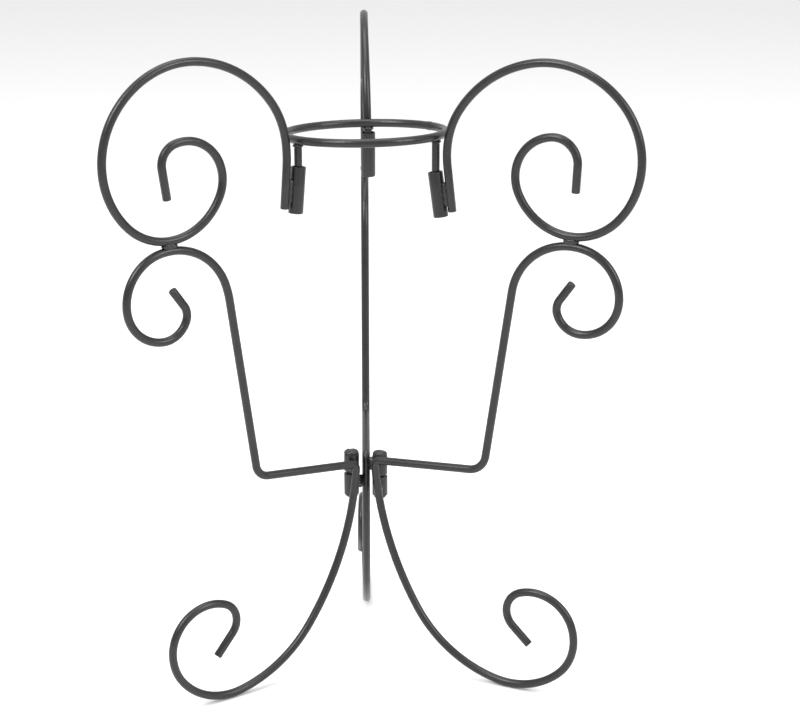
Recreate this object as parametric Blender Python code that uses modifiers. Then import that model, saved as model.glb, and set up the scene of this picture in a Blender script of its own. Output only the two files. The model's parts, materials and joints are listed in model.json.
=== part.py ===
"""Wire mug tree: three scroll panels hinged at the foot and held open by a lift-off ring with three pegs.

Run with: blender --background --python part.py
Lengths in the constants are millimetres; objects are built in metres, +Z up, floor at z = 0.
"""

import math

import bmesh
import bpy
from mathutils import Matrix, Vector

MM = 0.001

# Where the planes of the three panels meet, in the part's frame.
AXIS_X = -5.474
AXIS_Y = -37.256

WIRE_RADIUS = 2.5
WIRE_FLAT = WIRE_RADIUS * math.cos(math.radians(22.5))  # centre of the 8-sided wire to one of its flats
FACET = 9.0  # degrees of bend from one wire point to the next
FOOT_FLAT = WIRE_FLAT * math.cos(math.radians(FACET / 2))  # the same at the ends of a level facet
SHORTEST = 0.45  # points closer than this become one
GAP = 0.3  # left between neighbouring pieces

PANELS = ("left", "right", "back")
AZIMUTH = {"left": 214.8, "right": 332.5, "back": 90.0}  # degrees from +X
WELD_SIDE = {"left": 1.0, "right": -1.0, "back": -1.0}  # side of each panel that carries its weld beads

# Bend lists in a panel's own plane: r from the stand axis and z above the floor. A list starts at (r, z)
# with a heading in degrees from +r. (length,) is a straight run and (radius, sweep) is an arc.
UPPER_SCROLL = {
    "left": ((56.6, 297.5), 94.5, (
        (24.0,), (77.5, -12.0), (50.0, -28.5), (69.0, -49.5), (55.5, -62.0), (50.5, -78.0),
        (36.5, -110.0), (24.0, -129.0), (12.0, -84.0), (18.0,))),
    "right": ((57.4, 294.1), 97.0, (
        (27.0,), (52.5, -22.5), (46.0, -17.5), (69.5, -45.0), (58.0, -60.5), (49.5, -85.0),
        (37.0, -111.5), (24.5, -110.0), (14.5, -98.0), (15.5,))),
    "back": ((56.5, 299.9), 94.5, (
        (22.0,), (81.5, -10.0), (50.5, -31.5), (69.5, -47.5), (55.5, -64.0), (50.5, -76.5),
        (36.5, -111.5), (24.0, -125.5), (12.5, -86.0), (18.0,))),
}
FRAME_WIRE = {
    "left": ((132.5, 260.9), 234.5, (
        (12.5,), (10.0, 58.5), (15.5, 68.5), (23.5, 82.0), (28.0, 87.5), (37.0, 80.5), (57.0, 10.0),
        (105.5,), (9.0, -76.0), (60.5,), (4.0, 89.0), (176.0, 33.0), (80.5, 42.5), (41.5, 64.0),
        (31.0, 37.0), (26.0, 115.0), (12.5, 105.5), (16.5,))),
    "right": ((133.5, 260.0), 234.5, (
        (13.0,), (10.0, 57.0), (15.0, 65.5), (23.0, 93.5), (28.0, 75.0), (36.5, 96.0),
        (105.0,), (11.5, -77.5), (60.0,), (4.0, 91.0), (201.0, 26.5), (82.0, 47.0), (47.0, 54.5),
        (30.5, 65.5), (26.0, 92.0), (13.5, 116.5), (15.0,))),
    "back": ((132.5, 261.5), 234.5, (
        (12.5,), (10.0, 58.5), (15.5, 68.0), (23.5, 84.5), (28.5, 91.0), (37.5, 85.0),
        (108.0,), (9.5, -76.5), (59.5,), (4.0, 88.5), (190.5, 27.5), (81.0, 48.5), (42.0, 59.0),
        (34.0, 41.5), (25.0, 119.5), (13.0, 101.5), (15.5,))),
}
# Sideways set of the hand-bent back panel: (offset at that end, length it fades over).
STRAIGHT = (0.0, 1.0)
BACK_SLEEVE_SET = -2.2
UPPER_START_SET = {"left": STRAIGHT, "right": STRAIGHT, "back": (BACK_SLEEVE_SET, 120.0)}
FRAME_END_SET = {"left": STRAIGHT, "right": STRAIGHT, "back": (3.5, 170.0)}

# Sleeves beside the upright end of each upper scroll: (r, z) of the top and bottom of their centrelines.
SLEEVE_TOP = {"left": (46.5, 321.4), "right": (46.2, 317.0), "back": (47.0, 326.9)}
SLEEVE_BOTTOM = {"left": (48.9, 294.2), "right": (50.1, 290.6), "back": (49.0, 299.6)}
SLEEVE_SET = {"left": 0.0, "right": 0.0, "back": BACK_SLEEVE_SET}
SLEEVE_OUTER = 4.35
SLEEVE_BORE = 3.4

# The locking ring leans a little: its front sits high and its back low.
RING_RADIUS = 47.4
RING_OFFSET_X = 0.35
RING_HEIGHT = 335.8
RING_PITCH = 3.93
RING_ROLL = 0.99
PEG_RADIUS = 2.3
PEG_DEPTH = 4.5  # how far a peg stands in its sleeve
PEG_TIP_CHAMFER = 0.7
COLLAR_RADIUS = 3.2
COLLAR_THICKNESS = 0.6  # radius of the bead of weld round a peg
COLLAR_DROP = 3.7  # bead centre below the ring wire's centre

# Hinge columns, relative to the stand axis: (x, y), and the heights of their knuckles.
COLUMN = {"left": (-9.0, 2.84), "right": (8.5, 4.1)}
LOWER_KNUCKLE = {"left": (108.4, 122.5), "right": (107.2, 120.3)}
UPPER_KNUCKLE = {"left": (124.0, 135.2), "right": (121.0, 133.7)}
KNUCKLE_OUTER = 4.65
KNUCKLE_BORE = 2.8
KNUCKLE_CHAMFER = 0.6
PIN_RADIUS = 2.4
PIN_HEAD_RADIUS = 4.5
PIN_HEAD_HEIGHT = 2.2
PIN_FOOT_RADIUS = 4.2
PIN_FOOT_HEIGHT = 1.4

# Weld beads: half sizes along r, sideways and z, before their neighbours are cut out of them.
SCROLL_BEAD = (4.2, 1.9, 2.6)
SLEEVE_BEAD = (2.6, 2.1, 4.5)
KNUCKLE_BEAD = (2.6, 2.6, 3.4)
LINK_BEAD = (5.0, 2.4, 4.0)
SLEEVE_BEAD_HEIGHT = {"left": 307.5, "right": 304.0, "back": 312.0}
OWN_BEAD_HEIGHT = {"left": 127.3, "right": 114.0}
LINK_HEIGHT = {"left": 115.5, "right": 127.0}

TURNED_STEPS = 24
TURNED_MERGE = 1e-5  # metres


def rgb(level):
    return (level, level, level, 1.0)


def paint(name, level, roughness):
    material = bpy.data.materials.new(name)
    material.use_nodes = True
    shader = material.node_tree.nodes["Principled BSDF"]
    shader.inputs["Base Color"].default_value = rgb(level)
    shader.inputs["Roughness"].default_value = roughness
    shader.inputs["Metallic"].default_value = 0.0
    material.diffuse_color = rgb(level)
    return material


def clear_scene():
    for obj in list(bpy.data.objects):
        bpy.data.objects.remove(obj, do_unlink=True)


def new_collection(name):
    collection = bpy.data.collections.new(name)
    bpy.context.scene.collection.children.link(collection)
    return collection


# ---------------------------------------------------------------- placing

def panel_matrix(panel):
    """Panel coordinates (r, sideways, z) in metres to the part's frame."""
    axis = Matrix.Translation((AXIS_X * MM, AXIS_Y * MM, 0.0))
    return axis @ Matrix.Rotation(math.radians(AZIMUTH[panel]), 4, "Z")


def column_place(side, z):
    x, y = COLUMN[side]
    return Vector(((AXIS_X + x) * MM, (AXIS_Y + y) * MM, z * MM))


def in_panel(panel, point):
    """A point of the part's frame as (r, sideways, z) of a panel, in millimetres."""
    return (panel_matrix(panel).inverted() @ point) / MM


def hold(obj, pivot):
    """Parents an object to its joint's empty and leaves it where it is."""
    obj.parent = pivot
    obj.matrix_parent_inverse = Matrix.Translation(pivot.location).inverted()


# ---------------------------------------------------------------- wires

def grid_headings(first, last):
    """Headings strictly between two headings, on a grid with one facet centred on level wire."""
    low, high = sorted((first, last))
    start = math.floor(low / FACET - 0.5) + 1
    end = math.ceil(high / FACET - 0.5)
    grid = [(k + 0.5) * FACET for k in range(start, end)]
    return grid if last > first else grid[::-1]


def bent(start, heading, bends):
    """Points (r, z) along a bend list, in millimetres."""
    place = Vector(start)
    points = [place.copy()]
    for bend in bends:
        if len(bend) == 1:
            turn = math.radians(heading)
            points.append(place.copy())
            place = place + bend[0] * Vector((math.cos(turn), math.sin(turn)))
            points.append(place.copy())
            continue
        radius, sweep = bend
        side = math.copysign(radius, sweep)
        turn = math.radians(heading)
        centre = place + side * Vector((-math.sin(turn), math.cos(turn)))
        for met in grid_headings(heading, heading + sweep) + [heading + sweep]:
            turn = math.radians(met)
            place = centre + side * Vector((math.sin(turn), -math.cos(turn)))
            if met != heading + sweep:
                points.append(place.copy())
        heading += sweep
    return thinned(points)


def thinned(points):
    kept = [points[0]]
    for point in points[1:]:
        if (point - kept[-1]).length > SHORTEST:
            kept.append(point)
    return kept


def eased(distance, offset, fade):
    """Sideways offset that fades smoothly to nothing over a length."""
    share = max(0.0, 1.0 - distance / fade)
    return offset * share * share * (3.0 - 2.0 * share)


def with_set(points, start_set=STRAIGHT, end_set=STRAIGHT):
    """Panel points (r, sideways, z) in metres from (r, z) in millimetres."""
    travel = [0.0]
    for before, after in zip(points, points[1:]):
        travel.append(travel[-1] + (after - before).length)
    placed = []
    for point, gone in zip(points, travel):
        sideways = eased(gone, *start_set) + eased(travel[-1] - gone, *end_set)
        placed.append(Vector((point.x, sideways, point.y)) * MM)
    return placed


def wire(name, points, radius, matrix, collection):
    """A round wire along points in metres, drawn with eight sides and a flat underneath."""
    curve = bpy.data.curves.new(name, "CURVE")
    curve.dimensions = "3D"
    curve.bevel_depth = radius * MM
    curve.bevel_resolution = 2
    curve.use_fill_caps = True
    spline = curve.splines.new("POLY")
    spline.points.add(len(points) - 1)
    for knot, point in zip(spline.points, points):
        knot.co = (*point, 1.0)
        knot.tilt = math.radians(22.5)
    obj = bpy.data.objects.new(name, curve)
    obj.matrix_basis = matrix
    collection.objects.link(obj)
    return obj


def as_mesh(curve_object):
    """Replaces a curve object by a mesh of the same shape, with its caps welded on."""
    bpy.context.view_layer.update()
    graph = bpy.context.evaluated_depsgraph_get()
    mesh = bpy.data.meshes.new_from_object(curve_object.evaluated_get(graph))
    solid = bmesh.new()
    solid.from_mesh(mesh)
    bmesh.ops.remove_doubles(solid, verts=solid.verts, dist=TURNED_MERGE)
    solid.to_mesh(mesh)
    solid.free()
    name = curve_object.name
    collection = curve_object.users_collection[0]
    matrix = curve_object.matrix_world.copy()
    bpy.data.objects.remove(curve_object, do_unlink=True)
    obj = bpy.data.objects.new(name, mesh)
    obj.matrix_basis = matrix
    collection.objects.link(obj)
    return obj


# ---------------------------------------------------------------- turned pieces

def turned(name, profile, matrix, collection, ring_shaped=False, steps=TURNED_STEPS):
    """A profile of (radius, z) in millimetres, running top to bottom, turned about its own Z."""
    mesh = bpy.data.meshes.new(name)
    drawn = bmesh.new()
    corners = [drawn.verts.new((radius * MM, 0.0, z * MM)) for radius, z in profile]
    for first, second in zip(corners, corners[1:]):
        drawn.edges.new((first, second))
    if ring_shaped:
        drawn.edges.new((corners[-1], corners[0]))
    drawn.to_mesh(mesh)
    drawn.free()
    obj = bpy.data.objects.new(name, mesh)
    obj.matrix_basis = matrix
    collection.objects.link(obj)
    screw = obj.modifiers.new("Turn", "SCREW")
    screw.steps = steps
    screw.render_steps = steps
    screw.use_merge_vertices = True
    screw.merge_threshold = TURNED_MERGE
    return obj


def tube(name, outer, bore, low, high, chamfer, matrix, collection):
    profile = (
        (outer - chamfer, high),
        (outer, high - chamfer),
        (outer, low + chamfer),
        (outer - chamfer, low),
        (bore, low),
        (bore, high),
    )
    return turned(name, profile, matrix, collection, ring_shaped=True)


def solid_rod(name, radius, low, high, matrix, collection):
    profile = ((0.0, high), (radius, high), (radius, low), (0.0, low))
    return turned(name, profile, matrix, collection)


def bead(name, centre, half_sizes, turn, cutters, collection):
    """A weld bead: an ellipsoid with room for its neighbours cut out of it."""
    mesh = bpy.data.meshes.new(name)
    ball = bmesh.new()
    bmesh.ops.create_uvsphere(ball, u_segments=16, v_segments=10, radius=1.0)
    stretch = Matrix.Diagonal((*(size * MM for size in half_sizes), 1.0))
    bmesh.ops.transform(ball, matrix=stretch, verts=ball.verts)
    ball.to_mesh(mesh)
    ball.free()
    obj = bpy.data.objects.new(name, mesh)
    obj.matrix_basis = Matrix.Translation(centre) @ Matrix.Rotation(turn, 4, "Z")
    collection.objects.link(obj)
    for cutter in cutters:
        cut = obj.modifiers.new("Room for " + cutter.name, "BOOLEAN")
        cut.operation = "DIFFERENCE"
        cut.solver = "EXACT"
        cut.object = cutter
    return obj


# ---------------------------------------------------------------- sub-assemblies

def panel_wires(panel, parts):
    """The two bent wires of a panel, with the panel's foot set down on the floor."""
    frame = bent(*FRAME_WIRE[panel])
    upper = bent(*UPPER_SCROLL[panel])
    drop = Vector((0.0, FOOT_FLAT - min(point.y for point in frame)))
    lines = {
        "frame_wire": with_set([point + drop for point in frame], end_set=FRAME_END_SET[panel]),
        "upper_scroll": with_set([point + drop for point in upper], start_set=UPPER_START_SET[panel]),
    }
    made = {}
    for kind, line in lines.items():
        made[kind] = wire(f"{panel}_{kind}", line, WIRE_RADIUS, panel_matrix(panel), parts)
    return made, lines


def room_for_wire(panel, kind, line, cutters):
    grown = wire(f"room_{panel}_{kind}", line, WIRE_RADIUS + GAP, panel_matrix(panel), cutters)
    return as_mesh(grown)


def sleeve_matrix(panel):
    """Bottom centre of a sleeve, with its Z along the sleeve."""
    low = Vector((SLEEVE_BOTTOM[panel][0], SLEEVE_SET[panel], SLEEVE_BOTTOM[panel][1]))
    high = Vector((SLEEVE_TOP[panel][0], SLEEVE_SET[panel], SLEEVE_TOP[panel][1]))
    lean = (high - low).to_track_quat("Z", "Y").to_matrix().to_4x4()
    return panel_matrix(panel) @ Matrix.Translation(low * MM) @ lean, (high - low).length


def closest_pair(first, second):
    """The two nearest points of two point lists."""
    pairs = ((a, b) for a in first for b in second)
    return min(pairs, key=lambda pair: (pair[0] - pair[1]).length)


def panel_parts(panel, parts, cutters):
    """One panel: its wires, its sleeve and the two welds that join them."""
    wires, lines = panel_wires(panel, parts)
    side = WELD_SIDE[panel]
    turn = math.radians(AZIMUTH[panel])
    room = {kind: room_for_wire(panel, kind, line, cutters) for kind, line in lines.items()}

    matrix, length = sleeve_matrix(panel)
    sleeve = tube(f"{panel}_ring_sleeve", SLEEVE_OUTER, SLEEVE_BORE, 0.0, length, 0.25, matrix, parts)
    room_sleeve = solid_rod(
        f"room_{panel}_sleeve", SLEEVE_OUTER + GAP, -1.0, length + 1.0, matrix, cutters
    )

    near = closest_pair(lines["upper_scroll"], lines["frame_wire"])
    middle = (near[0] + near[1]) / 2 + Vector((0.0, side * SCROLL_BEAD[1] * MM, 0.0))
    scroll_weld = bead(
        f"{panel}_scroll_weld", panel_matrix(panel) @ middle, SCROLL_BEAD, turn, room.values(), parts
    )

    height = SLEEVE_BEAD_HEIGHT[panel]
    share = (height - SLEEVE_BOTTOM[panel][1]) / (SLEEVE_TOP[panel][1] - SLEEVE_BOTTOM[panel][1])
    sleeve_r = SLEEVE_BOTTOM[panel][0] + share * (SLEEVE_TOP[panel][0] - SLEEVE_BOTTOM[panel][0])
    joint_r = sleeve_r + SLEEVE_OUTER + 3 * GAP
    joint = Vector((joint_r, SLEEVE_SET[panel] + side * SLEEVE_BEAD[1], height)) * MM
    sleeve_weld = bead(
        f"{panel}_sleeve_weld",
        panel_matrix(panel) @ joint,
        SLEEVE_BEAD,
        turn,
        (room["upper_scroll"], room_sleeve),
        parts,
    )
    moving = [*wires.values(), sleeve, scroll_weld, sleeve_weld]
    return moving, room["frame_wire"], lines["frame_wire"]


def ring_height(x, y):
    """Height of the ring wire's centre over a point given from the stand axis."""
    pitch = math.tan(math.radians(RING_PITCH))
    roll = math.tan(math.radians(RING_ROLL))
    return RING_HEIGHT - y * pitch + (x - RING_OFFSET_X) * roll


def ring_parts(parts):
    """The locking ring, its three pegs and the weld round the top of each."""
    bpy.ops.mesh.primitive_torus_add(
        major_radius=RING_RADIUS * MM,
        minor_radius=WIRE_RADIUS * MM,
        major_segments=48,
        minor_segments=8,
        location=((AXIS_X + RING_OFFSET_X) * MM, AXIS_Y * MM, RING_HEIGHT * MM),
        rotation=(math.radians(-RING_PITCH), math.radians(-RING_ROLL), 0.0),
    )
    ring = bpy.context.object
    ring.name = "ring"
    ring.data.name = "ring"
    made = [ring]
    for panel in PANELS:
        top_r, top_z = SLEEVE_TOP[panel]
        low_r, low_z = SLEEVE_BOTTOM[panel]
        r = top_r + (low_r - top_r) * PEG_DEPTH / 2 / (top_z - low_z)
        foot = Vector((r, SLEEVE_SET[panel], 0.0)) * MM
        place = panel_matrix(panel) @ foot
        x = place.x / MM - AXIS_X
        y = place.y / MM - AXIS_Y
        under = ring_height(x, y) - WIRE_RADIUS - GAP
        bottom = top_z - PEG_DEPTH
        profile = (
            (0.0, under),
            (PEG_RADIUS, under),
            (PEG_RADIUS, bottom + PEG_TIP_CHAMFER),
            (PEG_RADIUS - PEG_TIP_CHAMFER, bottom),
            (0.0, bottom),
        )
        made.append(turned(f"ring_peg_{panel}", profile, Matrix.Translation(place), parts, steps=16))
        bpy.ops.mesh.primitive_torus_add(
            major_radius=COLLAR_RADIUS * MM,
            minor_radius=COLLAR_THICKNESS * MM,
            major_segments=16,
            minor_segments=6,
            location=(place.x, place.y, (ring_height(x, y) - COLLAR_DROP) * MM),
        )
        collar = bpy.context.object
        collar.name = f"ring_peg_weld_{panel}"
        made.append(collar)
    for obj in made:
        if obj.name not in parts.objects:
            for owner in obj.users_collection:
                owner.objects.unlink(obj)
            parts.objects.link(obj)
    return made


def hinge_pin(side, parts):
    """A pin through both knuckles, with a domed head and a peened foot."""
    top = UPPER_KNUCKLE[side][1] + GAP
    bottom = LOWER_KNUCKLE[side][0] - GAP
    profile = (
        (0.0, top + PIN_HEAD_HEIGHT),
        (0.45 * PIN_HEAD_RADIUS, top + 0.88 * PIN_HEAD_HEIGHT),
        (0.8 * PIN_HEAD_RADIUS, top + 0.6 * PIN_HEAD_HEIGHT),
        (PIN_HEAD_RADIUS, top + 0.2 * PIN_HEAD_HEIGHT),
        (PIN_HEAD_RADIUS, top),
        (PIN_RADIUS, top),
        (PIN_RADIUS, bottom),
        (PIN_FOOT_RADIUS, bottom),
        (0.75 * PIN_FOOT_RADIUS, bottom - 0.7 * PIN_FOOT_HEIGHT),
        (0.0, bottom - PIN_FOOT_HEIGHT),
    )
    return turned(f"{side}_hinge_pin", profile, Matrix.Translation(column_place(side, 0.0)), parts)


def knuckle_weld(name, side, panel, height, line, room_wire, room_column, parts, own):
    """Joins a knuckle to a panel's leg: a bead beside the leg, or a longer link across a gap."""
    column = in_panel(panel, column_place(side, height))
    leg = min(line, key=lambda point: abs(point.z / MM - height) + abs(point.x / MM - column.x) / 4)
    leg = Vector((leg.x / MM, leg.y / MM, height))
    across = (column - leg).normalized()
    turn = math.radians(AZIMUTH[panel]) + math.atan2(across.y, across.x)
    if own:
        middle = leg + across * (WIRE_RADIUS + GAP) + Vector((KNUCKLE_BEAD[0], 0.0, 0.0))
        sizes = KNUCKLE_BEAD
    else:
        middle = (column + leg) / 2
        sizes = LINK_BEAD
    centre = panel_matrix(panel) @ (middle * MM)
    return bead(name, centre, sizes, turn, (room_wire, room_column), parts)


def hinge_parts(side, lines, rooms, parts, cutters):
    """One hinge column. Returns the pieces held by the swinging panel and by the back panel."""
    axis = Matrix.Translation(column_place(side, 0.0))
    levels = {"upper": UPPER_KNUCKLE[side], "lower": LOWER_KNUCKLE[side]}
    swinging_level = "upper" if side == "left" else "lower"
    low = LOWER_KNUCKLE[side][0] - 6.0
    high = UPPER_KNUCKLE[side][1] + 6.0
    room_column = solid_rod(f"room_{side}_column", KNUCKLE_OUTER + GAP, low, high, axis, cutters)
    held = {side: [], "back": [hinge_pin(side, parts)]}
    for level, (bottom, top) in levels.items():
        own = level == swinging_level
        panel = side if own else "back"
        name = f"{side}_{level}_knuckle"
        knuckle = tube(name, KNUCKLE_OUTER, KNUCKLE_BORE, bottom, top, KNUCKLE_CHAMFER, axis, parts)
        height = OWN_BEAD_HEIGHT[side] if own else LINK_HEIGHT[side]
        weld = knuckle_weld(
            name + "_weld", side, panel, height, lines[panel], rooms[panel], room_column, parts, own
        )
        held[panel] += [knuckle, weld]
    return held


def main():
    clear_scene()
    parts = new_collection("mug_tree")
    cutters = new_collection("cutters")
    cutters.hide_render = True

    pivots = {
        "left": column_place("left", UPPER_KNUCKLE["left"][0]),
        "right": column_place("right", LOWER_KNUCKLE["right"][1]),
        "ring": Vector((AXIS_X, AXIS_Y, RING_HEIGHT)) * MM,
        "back": Vector((AXIS_X, AXIS_Y, 0.0)) * MM,
    }
    empties = {}
    for body, place in pivots.items():
        empties[body] = bpy.data.objects.new(f"{body}_pivot", None)
        empties[body].location = place
        parts.objects.link(empties[body])

    bodies = {}
    lines = {}
    rooms = {}
    for panel in PANELS:
        bodies[panel], rooms[panel], lines[panel] = panel_parts(panel, parts, cutters)
    for side in COLUMN:
        for panel, pieces in hinge_parts(side, lines, rooms, parts, cutters).items():
            bodies[panel] += pieces
    bodies["ring"] = ring_parts(parts)

    wire_paint = paint("black_wire_paint", 0.018, 0.38)
    tube_paint = paint("black_tube_paint", 0.022, 0.42)
    weld_paint = paint("black_weld_paint", 0.03, 0.5)
    for body, pieces in bodies.items():
        for obj in pieces:
            if "weld" in obj.name:
                material = weld_paint
            elif "wire" in obj.name or "scroll" in obj.name or obj.name == "ring":
                material = wire_paint
            else:
                material = tube_paint
            obj.data.materials.append(material)
            hold(obj, empties[body])
    for obj in cutters.objects:
        obj.hide_render = True
        obj.display_type = "WIRE"


main()
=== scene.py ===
"""Looks of the wire mug tree: smooth round wire, turned hinges and painted weld beads."""

import json
import math

import bmesh
import bpy
from mathutils import Matrix, Vector, noise

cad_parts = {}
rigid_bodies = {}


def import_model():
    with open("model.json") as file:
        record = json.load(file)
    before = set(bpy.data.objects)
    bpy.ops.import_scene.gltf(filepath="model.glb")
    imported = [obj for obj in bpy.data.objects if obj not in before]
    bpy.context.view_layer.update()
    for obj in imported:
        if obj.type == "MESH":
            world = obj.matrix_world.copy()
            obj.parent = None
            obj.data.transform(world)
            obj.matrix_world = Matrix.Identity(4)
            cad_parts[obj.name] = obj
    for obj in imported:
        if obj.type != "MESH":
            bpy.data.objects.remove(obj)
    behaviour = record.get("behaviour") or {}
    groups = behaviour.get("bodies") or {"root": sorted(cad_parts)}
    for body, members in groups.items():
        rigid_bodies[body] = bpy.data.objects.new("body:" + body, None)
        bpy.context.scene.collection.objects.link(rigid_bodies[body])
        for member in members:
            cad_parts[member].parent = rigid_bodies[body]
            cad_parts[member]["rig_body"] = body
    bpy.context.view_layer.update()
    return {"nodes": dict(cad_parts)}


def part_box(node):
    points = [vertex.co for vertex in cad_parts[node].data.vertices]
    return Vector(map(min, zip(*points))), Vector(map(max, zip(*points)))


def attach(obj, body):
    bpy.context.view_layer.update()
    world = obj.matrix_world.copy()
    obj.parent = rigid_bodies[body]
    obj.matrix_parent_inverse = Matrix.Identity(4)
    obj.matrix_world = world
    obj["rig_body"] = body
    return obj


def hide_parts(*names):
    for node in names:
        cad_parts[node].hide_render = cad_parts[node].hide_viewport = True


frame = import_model()

MM = 0.001

# ---------------------------------------------------------------- the part's own numbers, in millimetres

AXIS_X = -5.474
AXIS_Y = -37.256
WIRE_RADIUS = 2.5
PANELS = ("left", "right", "back")
AZIMUTH = {"left": 214.8, "right": 332.5, "back": 90.0}
FRONT = {"left": 1.0, "right": -1.0, "back": -1.0}

# Bend lists: (r, z) of the start, heading in degrees, then (length,) for a run or (radius, sweep) for an arc.
UPPER_SCROLL = {
    "left": ((56.6, 297.5), 94.5, (
        (24.0,), (77.5, -12.0), (50.0, -28.5), (69.0, -49.5), (55.5, -62.0), (50.5, -78.0),
        (36.5, -110.0), (24.0, -129.0), (12.0, -84.0), (18.0,))),
    "right": ((57.4, 294.1), 97.0, (
        (27.0,), (52.5, -22.5), (46.0, -17.5), (69.5, -45.0), (58.0, -60.5), (49.5, -85.0),
        (37.0, -111.5), (24.5, -110.0), (14.5, -98.0), (15.5,))),
    "back": ((56.5, 299.9), 94.5, (
        (22.0,), (81.5, -10.0), (50.5, -31.5), (69.5, -47.5), (55.5, -64.0), (50.5, -76.5),
        (36.5, -111.5), (24.0, -125.5), (12.5, -86.0), (18.0,))),
}
FRAME_WIRE = {
    "left": ((132.5, 260.9), 234.5, (
        (12.5,), (10.0, 58.5), (15.5, 68.5), (23.5, 82.0), (28.0, 87.5), (37.0, 80.5), (57.0, 10.0),
        (105.5,), (9.0, -76.0), (60.5,), (4.0, 89.0), (176.0, 33.0), (80.5, 42.5), (41.5, 64.0),
        (31.0, 37.0), (26.0, 115.0), (12.5, 105.5), (16.5,))),
    "right": ((133.5, 260.0), 234.5, (
        (13.0,), (10.0, 57.0), (15.0, 65.5), (23.0, 93.5), (28.0, 75.0), (36.5, 96.0),
        (105.0,), (11.5, -77.5), (60.0,), (4.0, 91.0), (201.0, 26.5), (82.0, 47.0), (47.0, 54.5),
        (30.5, 65.5), (26.0, 92.0), (13.5, 116.5), (15.0,))),
    "back": ((132.5, 261.5), 234.5, (
        (12.5,), (10.0, 58.5), (15.5, 68.0), (23.5, 84.5), (28.5, 91.0), (37.5, 85.0),
        (108.0,), (9.5, -76.5), (59.5,), (4.0, 88.5), (190.5, 27.5), (81.0, 48.5), (42.0, 59.0),
        (34.0, 41.5), (25.0, 119.5), (13.0, 101.5), (15.5,))),
}
STRAIGHT = (0.0, 1.0)
BACK_SLEEVE_SET = -2.2
UPPER_START_SET = {"left": STRAIGHT, "right": STRAIGHT, "back": (BACK_SLEEVE_SET, 120.0)}
FRAME_END_SET = {"left": STRAIGHT, "right": STRAIGHT, "back": (3.5, 170.0)}
SLEEVE_TOP = {"left": (46.5, 321.4), "right": (46.2, 317.0), "back": (47.0, 326.9)}
SLEEVE_BOTTOM = {"left": (48.9, 294.2), "right": (50.1, 290.6), "back": (49.0, 299.6)}
SLEEVE_SET = {"left": 0.0, "right": 0.0, "back": BACK_SLEEVE_SET}
SLEEVE_OUTER = 4.35
SLEEVE_BORE = 3.4
RING_RADIUS = 47.4
RING_OFFSET_X = 0.35
RING_HEIGHT = 335.8
RING_PITCH = 3.93
RING_ROLL = 0.99
PEG_RADIUS = 2.3
COLUMN = {"left": (-9.0, 2.84), "right": (8.5, 4.1)}
LOWER_KNUCKLE = {"left": (108.4, 122.5), "right": (107.2, 120.3)}
UPPER_KNUCKLE = {"left": (124.0, 135.2), "right": (121.0, 133.7)}
KNUCKLE_OUTER = 4.65
KNUCKLE_BORE = 2.8
PIN_RADIUS = 2.4
PIN_PLAY = 0.15  # between a knuckle's end and the pin's head or foot
RING_JOINT = 35.0  # degrees round the ring, where its wire is welded shut

# ---------------------------------------------------------------- how finely things are drawn

ARC_STEP = 2.0  # degrees of bend between a wire's points
WIRE_SIDES = 6  # bevel resolution of a wire: 16 sides
TURNED_STEPS = 64
SHARP = math.radians(40)
BEAD_VOXEL = 0.28  # mm
CUT_CHAMFER = 0.45  # mm, on a wire's cut end
CUT_STEPS = ((0.0, 0.80), (0.35, 0.93), (1.0, 1.0))  # shares of the chamfer's length and the radius


# ---------------------------------------------------------------- materials

def paint(name, dark, light, smooth, rough, peel, painted_glints=0.0):
    """Black paint on steel: orange peel, uneven gloss, and on some pieces small light specks that are painted
    glints of light.
    """
    material = bpy.data.materials.new(name)
    material.use_nodes = True
    nodes = material.node_tree.nodes
    links = material.node_tree.links
    shader = nodes["Principled BSDF"]
    shader.inputs["Metallic"].default_value = 0.0
    shader.inputs["IOR"].default_value = 1.5
    place = nodes.new("ShaderNodeTexCoord")

    def noise_node(scale, detail, roughness=0.55):
        made = nodes.new("ShaderNodeTexNoise")
        made.inputs["Scale"].default_value = scale
        made.inputs["Detail"].default_value = detail
        made.inputs["Roughness"].default_value = roughness
        links.new(place.outputs["Object"], made.inputs["Vector"])
        return made.outputs["Fac"]

    def ramp(fac, stops):
        made = nodes.new("ShaderNodeValToRGB")
        made.color_ramp.elements[0].position = stops[0][0]
        made.color_ramp.elements[0].color = (*[stops[0][1]] * 3, 1)
        made.color_ramp.elements[1].position = stops[1][0]
        made.color_ramp.elements[1].color = (*[stops[1][1]] * 3, 1)
        links.new(fac, made.inputs["Fac"])
        return made.outputs["Color"]

    colour = ramp(noise_node(70, 4), ((0.35, dark), (0.7, light)))
    gloss = ramp(noise_node(160, 5, 0.6), ((0.3, smooth), (0.75, rough)))
    # Painted highlight: small light grey specks mixed into the base colour stand for glints of light on the
    # surface.
    if painted_glints:
        painted_glint_mask = ramp(noise_node(900, 4, 0.7), ((0.7 - painted_glints, 0.0), (0.74 - painted_glints, 1.0)))
        mix = nodes.new("ShaderNodeMix")
        mix.data_type = "RGBA"
        mix.inputs["B"].default_value = (0.14, 0.135, 0.13, 1)
        links.new(painted_glint_mask, mix.inputs["Factor"])
        links.new(colour, mix.inputs["A"])
        colour = mix.outputs["Result"]
    links.new(colour, shader.inputs["Base Color"])
    links.new(gloss, shader.inputs["Roughness"])

    fine = nodes.new("ShaderNodeBump")
    fine.inputs["Strength"].default_value = peel
    fine.inputs["Distance"].default_value = 0.0002
    links.new(noise_node(1400, 3), fine.inputs["Height"])
    broad = nodes.new("ShaderNodeBump")
    broad.inputs["Strength"].default_value = peel * 0.8
    broad.inputs["Distance"].default_value = 0.0006
    links.new(noise_node(260, 2), broad.inputs["Height"])
    links.new(fine.outputs["Normal"], broad.inputs["Normal"])
    links.new(broad.outputs["Normal"], shader.inputs["Normal"])
    return material


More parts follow.
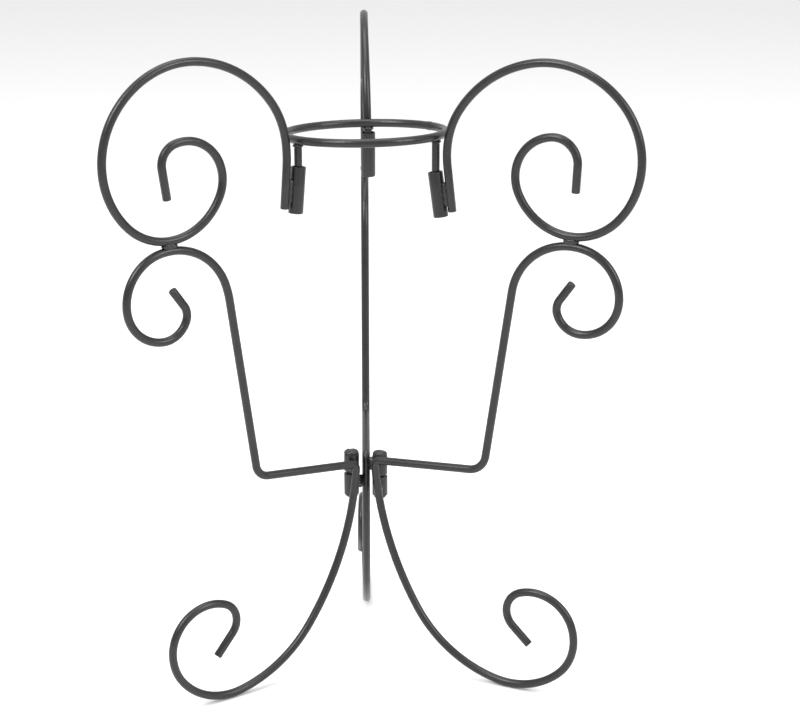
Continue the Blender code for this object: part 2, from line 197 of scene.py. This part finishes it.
WIRE_PAINT = paint("black_wire_paint", 0.006, 0.012, 0.26, 0.40, 0.16)
TUBE_PAINT = paint("black_tube_paint", 0.007, 0.014, 0.28, 0.44, 0.22)
# The weld and pin paints carry painted glints: light grey specks standing for highlights.
WELD_PAINT = paint("black_weld_paint", 0.008, 0.018, 0.24, 0.46, 0.45, painted_glints=0.03)
PIN_PAINT = paint("black_pin_paint", 0.008, 0.018, 0.28, 0.5, 0.4, painted_glints=0.02)


# ---------------------------------------------------------------- placing

def panel_matrix(panel):
    """Panel coordinates (r, sideways, z) to the frame's."""
    axis = Matrix.Translation((AXIS_X * MM, AXIS_Y * MM, 0.0))
    return axis @ Matrix.Rotation(math.radians(AZIMUTH[panel]), 4, "Z")


def column_place(side, z=0.0):
    x, y = COLUMN[side]
    return Vector(((AXIS_X + x) * MM, (AXIS_Y + y) * MM, z * MM))


def middle_of(node):
    low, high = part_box(node)
    return (Vector(low) + Vector(high)) / 2


def finish_piece(obj, material, node):
    """Gives a piece its paint and lets it stand for its CAD node, on that node's body."""
    obj.data.materials.append(material)
    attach(obj, frame["nodes"][node]["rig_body"])
    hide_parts(node)
    return obj


# ---------------------------------------------------------------- wires

def bent(start, heading, bends):
    """Smooth points (r, z) along a bend list, in millimetres."""
    place = Vector(start)
    points = [place.copy()]
    for bend in bends:
        turn = math.radians(heading)
        if len(bend) == 1:
            place = place + bend[0] * Vector((math.cos(turn), math.sin(turn)))
            points.append(place.copy())
            continue
        radius, sweep = bend
        side = math.copysign(radius, sweep)
        centre = place + side * Vector((-math.sin(turn), math.cos(turn)))
        steps = max(2, math.ceil(abs(sweep) / ARC_STEP))
        for step in range(1, steps + 1):
            turn = math.radians(heading + sweep * step / steps)
            place = centre + side * Vector((math.sin(turn), -math.cos(turn)))
            points.append(place.copy())
        heading += sweep
    return points


def eased(distance, offset, fade):
    """A sideways offset that is full at distance 0 and fades smoothly to nothing."""
    share = max(0.0, 1.0 - distance / fade)
    return offset * share * share * (3.0 - 2.0 * share)


def with_set(points, start_set=STRAIGHT, end_set=STRAIGHT):
    """Panel points (r, sideways, z) in metres from (r, z) in millimetres."""
    travel = [0.0]
    for before, after in zip(points, points[1:]):
        travel.append(travel[-1] + (after - before).length)
    placed = []
    for point, gone in zip(points, travel):
        sideways = eased(gone, *start_set) + eased(travel[-1] - gone, *end_set)
        placed.append(Vector((point.x, sideways, point.y)) * MM)
    return placed


def with_cut_ends(points):
    """Adds a chamfer at each end. Returns (point, share of the radius) pairs."""
    def end(tip, inner):
        inward = (inner - tip).normalized() * CUT_CHAMFER * MM
        return [(tip + inward * along, share) for along, share in CUT_STEPS]

    body = [(point, 1.0) for point in points[1:-1]]
    return end(points[0], points[1]) + body + end(points[-1], points[-2])[::-1]


def wire(node, points, matrix):
    """A round wire along the points, which are in metres in the matrix's own space."""
    curve = bpy.data.curves.new(node + "_round", "CURVE")
    curve.dimensions = "3D"
    curve.bevel_depth = WIRE_RADIUS * MM
    curve.bevel_resolution = WIRE_SIDES
    curve.use_fill_caps = True
    knots = with_cut_ends(points)
    spline = curve.splines.new("POLY")
    spline.points.add(len(knots) - 1)
    for knot, (point, share) in zip(spline.points, knots):
        knot.co = (*point, 1.0)
        knot.radius = share
    obj = bpy.data.objects.new(node + "_round", curve)
    bpy.context.scene.collection.objects.link(obj)
    obj.matrix_world = matrix
    return finish_piece(obj, WIRE_PAINT, node)


def panel_wires(panel):
    """The two wires of a panel, with its foot set down on the floor. Returns their centre lines."""
    frame_line = bent(*FRAME_WIRE[panel])
    upper_line = bent(*UPPER_SCROLL[panel])
    drop = Vector((0.0, WIRE_RADIUS - min(point.y for point in frame_line)))
    frame_line = with_set([point + drop for point in frame_line], end_set=FRAME_END_SET[panel])
    upper_line = with_set([point + drop for point in upper_line], start_set=UPPER_START_SET[panel])
    wire(f"{panel}_frame_wire", frame_line, panel_matrix(panel))
    wire(f"{panel}_upper_scroll", upper_line, panel_matrix(panel))
    return frame_line, upper_line


# ---------------------------------------------------------------- turned pieces

def softened(profile, radius):
    """Rounds each inner corner of a profile."""
    soft = [Vector(profile[0])]
    for before, corner, after in zip(profile, profile[1:], profile[2:]):
        before, corner, after = Vector(before), Vector(corner), Vector(after)
        reach = min(radius, (before - corner).length / 2.2, (after - corner).length / 2.2)
        first = corner + (before - corner).normalized() * reach
        last = corner + (after - corner).normalized() * reach
        for t in (0.0, 0.25, 0.5, 0.75, 1.0):
            soft.append(first * (1 - t) ** 2 + corner * 2 * t * (1 - t) + last * t * t)
    soft.append(Vector(profile[-1]))
    return soft


def turned(name, profile, matrix, rough=0.0, seed=0.0):
    """A profile of (radius, z) in millimetres turned about Z; rough adds small hammered dents."""
    drawn = bmesh.new()
    corners = [drawn.verts.new((r * MM, 0.0, z * MM)) for r, z in profile]
    edges = [drawn.edges.new(pair) for pair in zip(corners, corners[1:])]
    bmesh.ops.spin(
        drawn, geom=corners + edges, cent=(0, 0, 0), axis=(0, 0, 1), angle=2 * math.pi, steps=TURNED_STEPS
    )
    bmesh.ops.remove_doubles(drawn, verts=drawn.verts, dist=2e-6)
    bmesh.ops.recalc_face_normals(drawn, faces=drawn.faces)
    if rough:
        drawn.normal_update()
        moves = []
        for vert in drawn.verts:
            dent = noise.noise(vert.co * 520 + Vector((seed, 2 * seed, 0)))
            moves.append(vert.normal * dent * rough * MM)
        for vert, move in zip(drawn.verts, moves):
            vert.co += move
    mesh = bpy.data.meshes.new(name)
    drawn.to_mesh(mesh)
    drawn.free()
    for face in mesh.polygons:
        face.use_smooth = True
    mesh.set_sharp_from_angle(angle=SHARP)
    obj = bpy.data.objects.new(name, mesh)
    bpy.context.scene.collection.objects.link(obj)
    obj.matrix_world = matrix
    return obj


def tube_profile(outer, bore, low, high, rounding):
    """A closed tube section, starting and ending in the middle of the bore."""
    middle = (low + high) / 2
    section = ((bore, middle), (bore, high), (outer, high), (outer, low), (bore, low), (bore, middle))
    return softened(section, rounding)


def sleeve(panel):
    low = Vector((SLEEVE_BOTTOM[panel][0], SLEEVE_SET[panel], SLEEVE_BOTTOM[panel][1]))
    high = Vector((SLEEVE_TOP[panel][0], SLEEVE_SET[panel], SLEEVE_TOP[panel][1]))
    lean = (high - low).to_track_quat("Z", "Y").to_matrix().to_4x4()
    matrix = panel_matrix(panel) @ Matrix.Translation(low * MM) @ lean
    node = f"{panel}_ring_sleeve"
    profile = tube_profile(SLEEVE_OUTER, SLEEVE_BORE, 0.0, (high - low).length, 0.3)
    obj = turned(node + "_tube", profile, matrix, rough=0.05, seed=low.x)
    return finish_piece(obj, TUBE_PAINT, node)


def knuckle(side, level, low, high):
    node = f"{side}_{level}_knuckle"
    profile = tube_profile(KNUCKLE_OUTER, KNUCKLE_BORE, low, high, 0.9)
    matrix = Matrix.Translation(column_place(side))
    obj = turned(node + "_barrel", profile, matrix, rough=0.22, seed=low)
    return finish_piece(obj, TUBE_PAINT, node)


def pin(side):
    """A pin with a hammered, domed head and a peened foot."""
    node = f"{side}_hinge_pin"
    low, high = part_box(node)
    top = UPPER_KNUCKLE[side][1] + PIN_PLAY
    bottom = LOWER_KNUCKLE[side][0] - PIN_PLAY
    crown = high[2] / MM
    foot = low[2] / MM
    profile = softened(
        ((0.0, crown), (2.4, crown - 0.15), (4.1, crown - 0.9), (4.5, top + 0.4), (4.4, top),
         (PIN_RADIUS, top), (PIN_RADIUS, bottom), (4.1, bottom), (3.4, foot + 0.5), (0.0, foot)), 0.7)
    obj = turned(node + "_turned", profile, Matrix.Translation(column_place(side)), rough=0.35, seed=top)
    return finish_piece(obj, PIN_PAINT, node)


# ---------------------------------------------------------------- weld beads

def weld(node, blobs, seed):
    """One lumpy bead made of overlapping blobs: (centre, half sizes in mm, turn about Z)."""
    drawn = bmesh.new()
    for index, (centre, sizes, turn) in enumerate(blobs):
        made = bmesh.ops.create_icosphere(drawn, subdivisions=4, radius=1.0)["verts"]
        shift = Vector((seed * 3.7, index * 5.1, seed))
        for vert in made:
            swell = 1.0 + 0.16 * noise.noise(vert.co * 1.6 + shift)
            swell += 0.06 * noise.noise(vert.co * 4.5 + shift)
            vert.co = Vector([c * swell * size * MM for c, size in zip(vert.co, sizes)])
        bmesh.ops.transform(
            drawn, matrix=Matrix.Translation(centre) @ Matrix.Rotation(turn, 4, "Z"), verts=made
        )
    mesh = bpy.data.meshes.new(node + "_bead")
    drawn.to_mesh(mesh)
    drawn.free()
    obj = bpy.data.objects.new(node + "_bead", mesh)
    bpy.context.scene.collection.objects.link(obj)
    union = obj.modifiers.new("One skin", "REMESH")
    union.mode = "VOXEL"
    union.voxel_size = BEAD_VOXEL * MM
    union.use_smooth_shade = True
    relax = obj.modifiers.new("Flow", "SMOOTH")
    relax.factor = 0.5
    relax.iterations = 3
    return finish_piece(obj, WELD_PAINT, node)


def scroll_weld(panel, frame_line, upper_line):
    """A saddle of weld on both sides of the place where the two scrolls touch."""
    pairs = ((a, b) for a in upper_line for b in frame_line)
    above, below = min(pairs, key=lambda pair: (pair[0] - pair[1]).length)
    middle = (above + below) / 2
    turn = math.radians(AZIMUTH[panel])
    to_frame = panel_matrix(panel)
    blobs = []
    for side in (-1.0, 1.0):
        blobs.append((to_frame @ (middle + Vector((0.0, side * 1.1 * MM, 0.0))), (4.6, 1.7, 2.1), turn))
    lump = middle + Vector((1.6 * MM, FRONT[panel] * 1.5 * MM, 0.4 * MM))
    blobs.append((to_frame @ lump, (2.2, 1.5, 1.9), turn))
    weld(f"{panel}_scroll_weld", blobs, AZIMUTH[panel])


def sleeve_weld(panel):
    """Three pairs of blobs, one above the other, in the grooves between the sleeve and the wire."""
    node = f"{panel}_sleeve_weld"
    height = middle_of(node).z / MM
    top_r, top_z = SLEEVE_TOP[panel]
    low_r, low_z = SLEEVE_BOTTOM[panel]
    turn = math.radians(AZIMUTH[panel])
    blobs = []
    for rise, half in ((4.2, 3.2), (-3.6, 3.4), (0.2, 3.0)):
        share = (height + rise - low_z) / (top_z - low_z)
        joint_r = low_r + share * (top_r - low_r) + SLEEVE_OUTER + 0.75
        for side in (-1.0, 1.0):
            centre = Vector((joint_r, SLEEVE_SET[panel] + side * 1.0, height + rise)) * MM
            blobs.append((panel_matrix(panel) @ centre, (2.0, 1.35, half), turn))
    weld(node, blobs, AZIMUTH[panel] + 7.0)


def knuckle_weld(node, side, line, panel):
    """Weld between a knuckle and the wire that carries it."""
    middle = middle_of(node)
    height = middle.z
    column = column_place(side)
    column.z = height
    to_frame = panel_matrix(panel)
    leg = min((to_frame @ point for point in line), key=lambda point: (point - column).length)
    leg = Vector((leg.x, leg.y, height))
    across = leg - column
    gap = across.length / MM - KNUCKLE_OUTER - WIRE_RADIUS
    turn = math.atan2(across.y, across.x)
    joint = column + across.normalized() * (KNUCKLE_OUTER + gap / 2) * MM
    blobs = [
        (joint, (gap / 2 + 1.5, 2.0, 4.2), turn),
        (joint + Vector((0.0, 0.0, 1.7 * MM)), (gap / 2 + 1.9, 1.8, 2.4), turn),
        (joint.lerp(middle, 0.6), (gap / 2 + 1.4, 2.0, 3.0), turn),
    ]
    weld(node, blobs, height / MM)


# ---------------------------------------------------------------- ring

def ring():
    """A round wire closed by a small butt weld at the back right."""
    bpy.ops.mesh.primitive_torus_add(
        major_radius=RING_RADIUS * MM,
        minor_radius=WIRE_RADIUS * MM,
        major_segments=180,
        minor_segments=24,
        location=((AXIS_X + RING_OFFSET_X) * MM, AXIS_Y * MM, RING_HEIGHT * MM),
        rotation=(math.radians(-RING_PITCH), math.radians(-RING_ROLL), 0.0),
    )
    obj = bpy.context.object
    obj.name = "ring_round"
    joint = math.radians(RING_JOINT)
    for vert in obj.data.vertices:
        around = math.atan2(vert.co.y, vert.co.x)
        core = Vector((math.cos(around), math.sin(around), 0.0)) * RING_RADIUS * MM
        away = (around - joint) * RING_RADIUS
        swell = 1.0 + 0.11 * math.exp(-((away / 1.6) ** 2))
        vert.co = core + (vert.co - core) * swell
    for face in obj.data.polygons:
        face.use_smooth = True
    return finish_piece(obj, WIRE_PAINT, "ring")


def peg(panel):
    """A peg under the ring with a rounded tip, and the weld round its root."""
    node = f"ring_peg_{panel}"
    low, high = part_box(node)
    place = middle_of(node)
    top = high[2] / MM + 1.2
    bottom = low[2] / MM
    profile = softened(((0.0, top), (PEG_RADIUS, top), (PEG_RADIUS, bottom), (0.0, bottom)), 0.8)
    obj = turned(node + "_round", profile, Matrix.Translation((place.x, place.y, 0.0)), rough=0.03)
    finish_piece(obj, TUBE_PAINT, node)
    collar = f"ring_peg_weld_{panel}"
    root = middle_of(collar)
    turn = math.radians(AZIMUTH[panel])
    blobs = [(root + Vector((0, 0, 0.5 * MM)), (3.0, 3.3, 1.3), turn)]
    weld(collar, blobs, AZIMUTH[panel] + 3.0)


# ---------------------------------------------------------------- the stand

def stand():
    lines = {}
    for panel in PANELS:
        lines[panel], upper_line = panel_wires(panel)
        sleeve(panel)
        scroll_weld(panel, lines[panel], upper_line)
        sleeve_weld(panel)
        peg(panel)
    ring()
    for side in COLUMN:
        knuckle(side, "upper", *UPPER_KNUCKLE[side])
        knuckle(side, "lower", *LOWER_KNUCKLE[side])
        pin(side)
    knuckle_weld("left_upper_knuckle_weld", "left", lines["left"], "left")
    knuckle_weld("left_lower_knuckle_weld", "left", lines["back"], "back")
    knuckle_weld("right_upper_knuckle_weld", "right", lines["back"], "back")
    knuckle_weld("right_lower_knuckle_weld", "right", lines["right"], "right")


# ---------------------------------------------------------------- studio

CAMERA_PLACE = (AXIS_X, AXIS_Y - 1247.0, 580.8)  # mm
CAMERA_PITCH = 17.03  # degrees below level
CAMERA_YAW = -0.96
CAMERA_LENS = 96.75
FLOOR_SIZE = 12.0  # metres
FLOOR_WHITE = 0.88


def camera():
    data = bpy.data.cameras.new("camera")
    data.lens = CAMERA_LENS
    data.sensor_width = 36.0
    obj = bpy.data.objects.new("camera", data)
    obj.location = Vector(CAMERA_PLACE) * MM
    obj.rotation_euler = (math.radians(90.0 - CAMERA_PITCH), 0.0, math.radians(CAMERA_YAW))
    bpy.context.scene.collection.objects.link(obj)
    bpy.context.scene.camera = obj


def soft_light(name, place, target, size, watts):
    data = bpy.data.lights.new(name, "AREA")
    data.shape = "RECTANGLE"
    data.size, data.size_y = size
    data.energy = watts
    obj = bpy.data.objects.new(name, data)
    obj.location = place
    obj.rotation_euler = (Vector(target) - Vector(place)).to_track_quat("-Z", "Y").to_euler()
    bpy.context.scene.collection.objects.link(obj)


def studio():
    bpy.ops.mesh.primitive_plane_add(size=FLOOR_SIZE, location=(0.0, 0.0, -0.0002))
    floor = bpy.context.object
    floor.name = "floor"
    white = bpy.data.materials.new("studio_white")
    white.use_nodes = True
    shader = white.node_tree.nodes["Principled BSDF"]
    shader.inputs["Base Color"].default_value = (FLOOR_WHITE, FLOOR_WHITE, FLOOR_WHITE, 1)
    shader.inputs["Roughness"].default_value = 0.9
    shader.inputs["Specular IOR Level"].default_value = 0.1
    floor.data.materials.append(white)
    world = bpy.data.worlds.new("studio")
    world.use_nodes = True
    sky = world.node_tree.nodes["Background"]
    sky.inputs["Color"].default_value = (1.0, 1.0, 1.0, 1)
    sky.inputs["Strength"].default_value = 0.85
    bpy.context.scene.world = world
    soft_light("key", (-1.1, -1.0, 1.7), (0, 0, 0.2), (0.9, 0.9), 26)
    soft_light("fill", (1.4, -0.9, 1.2), (0, 0, 0.2), (0.8, 1.1), 16)
    soft_light("top", (0.0, 0.2, 2.2), (0, 0, 0.0), (1.6, 1.6), 22)
    bpy.context.scene.view_settings.view_transform = "Standard"


stand()
camera()
studio()
bpy.context.view_layer.update()
